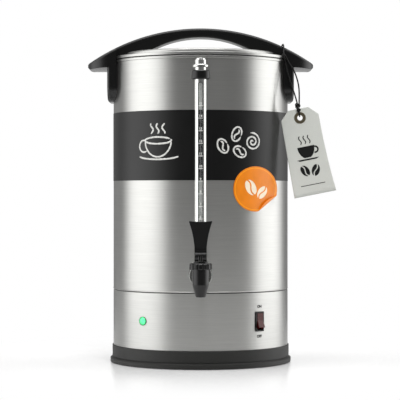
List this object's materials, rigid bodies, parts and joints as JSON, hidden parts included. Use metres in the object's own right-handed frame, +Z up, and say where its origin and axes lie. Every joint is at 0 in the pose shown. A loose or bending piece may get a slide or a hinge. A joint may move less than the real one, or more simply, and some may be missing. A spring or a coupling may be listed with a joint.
{
  "type": "coffee urn",
  "caption": "Tall steel percolator urn with a lift-off lid, a level gauge and a lever tap at the front, side handles and a heated base.",
  "frame": {"origin": "on the urn's upright axis, at the surface that it stands on", "axes": "+Z up, the tap and gauge face -Y, +X to the right seen from the front"},
  "size_m": [0.3622, 0.3404, 0.4966],
  "materials": {
    "brushed_steel": "fine horizontal brushing",
    "lid_steel": "satin, brushed in circles",
    "inner_steel": "plain mill finish",
    "fastener_steel": "bright zinc or stainless",
    "chrome_plate": "polished plating",
    "black_handle_plastic": "fine satin",
    "black_tap_plastic": "satin gloss",
    "base_plastic": "fine moulded texture",
    "foot_rubber": "matt",
    "silicone": "matt, slightly clear",
    "chalk_foil": "matt chalkboard foil",
    "orange_film": "printed film",
    "gauge_glass": "clear tube",
    "green_lens": "clear green, lit",
    "red_rocker": "clear dark red",
    "tinned_brass": "tinned",
    "cast_aluminium": "as cast",
    "sensor_steel": "pressed",
    "terminal_plastic": "plain",
    "wire_insulation": "silicone sleeve",
    "tag_card": "smooth light grey card",
    "eyelet_brass": "aged brass",
    "black_cord": "waxed cotton"
  },
  "bodies": {
    "urn": {"tank": "brushed_steel", "chalk_band": "chalk_foil", "round_label": "orange_film", "base_shell": "brushed_steel", "base_ring": "base_plastic", "foot_ring": "foot_rubber", "bottom_plate": "inner_steel", "bottom_screws": "fastener_steel", "handle_left": "black_handle_plastic", "handle_right": "black_handle_plastic", "handle_screws": "fastener_steel", "handle_washers": "silicone", "tap_shank": "chrome_plate", "tap_gaskets": "silicone", "tank_nut": "fastener_steel", "union_nut": "chrome_plate", "tap_body": "black_tap_plastic", "tap_bonnet": "black_tap_plastic", "tap_spring": "fastener_steel", "gauge_glass": "gauge_glass", "gauge_seals": "silicone", "gauge_nut": "chrome_plate", "gauge_shield": "chrome_plate", "gauge_bushing": "black_tap_plastic", "gauge_cap": "chrome_plate", "lamp_lens": "green_lens", "lamp_holder": "black_tap_plastic", "switch_housing": "black_tap_plastic", "switch_tabs": "tinned_brass", "inlet_socket": "black_tap_plastic", "inlet_pins": "tinned_brass", "inlet_screws": "fastener_steel", "heater_block": "cast_aluminium", "heater_nut": "fastener_steel", "keep_warm_mat": "silicone", "thermostat": "sensor_steel", "thermal_cutout": "sensor_steel", "terminal_block": "terminal_plastic", "terminal_screws": "tinned_brass", "wiring": "wire_insulation"},
    "lid": {"lid_shell": "lid_steel", "lid_handle": "black_handle_plastic", "lid_screws": "fastener_steel", "lid_washers": "fastener_steel", "swing_tag": "tag_card", "tag_eyelet": "eyelet_brass", "tag_string": "black_cord", "tag_knot": "black_cord"},
    "pump": {"pump_stem": "inner_steel"},
    "valve": {"pump_valve": "inner_steel"},
    "basket": {"basket": "inner_steel"},
    "cover": {"basket_cover": "inner_steel"},
    "valve_stem": {"tap_stem": "inner_steel", "seat_cup": "silicone", "lever_pin": "inner_steel"},
    "lever": {"tap_lever": "black_tap_plastic"},
    "rocker": {"switch_rocker": "red_rocker"}
  },
  "joints": [
    {"name": "lid_lift", "type": "slide", "parent": "urn", "child": "lid", "axis": [0, 0, 1], "range_m": [0, 0.4]},
    {"name": "cover_lift", "type": "slide", "parent": "urn", "child": "cover", "axis": [0, 0, 1], "range_m": [0, 0.393]},
    {"name": "basket_lift", "type": "slide", "parent": "urn", "child": "basket", "axis": [0, 0, 1], "range_m": [0, 0.373]},
    {"name": "pump_lift", "type": "slide", "parent": "urn", "child": "pump", "axis": [0, 0, 1], "range_m": [0, 0.353]},
    {"name": "valve_play", "type": "slide", "parent": "pump", "child": "valve", "axis": [0, 0, 1], "range_m": [0, 0.003]},
    {"name": "stem_lift", "type": "slide", "parent": "urn", "child": "valve_stem", "axis": [0, 0, 1], "range_m": [0, 0.0058], "deforming": ["tap_spring"]},
    {"name": "lever_tilt", "type": "hinge", "parent": "valve_stem", "child": "lever", "pos_m": [0, -0.19, 0.163], "axis": [1, 0, 0], "range_deg": [0, 60], "stiffness_Nm_per_rad": 0.12, "springref_deg": -34.38},
    {"name": "rocker_tilt", "type": "hinge", "parent": "urn", "child": "rocker", "pos_m": [0.08151, -0.09543, 0.0667], "axis": [0.7604, 0.6494, 0], "range_deg": [0, 24]}
  ],
  "couplings": [
    {"joint": "cover_lift", "follows": "lid_lift", "ratio": 0.98},
    {"joint": "basket_lift", "follows": "lid_lift", "ratio": 0.93},
    {"joint": "pump_lift", "follows": "lid_lift", "ratio": 0.88},
    {"joint": "stem_lift", "follows": "lever_tilt", "m_per_rad": 0.0055}
  ]
}
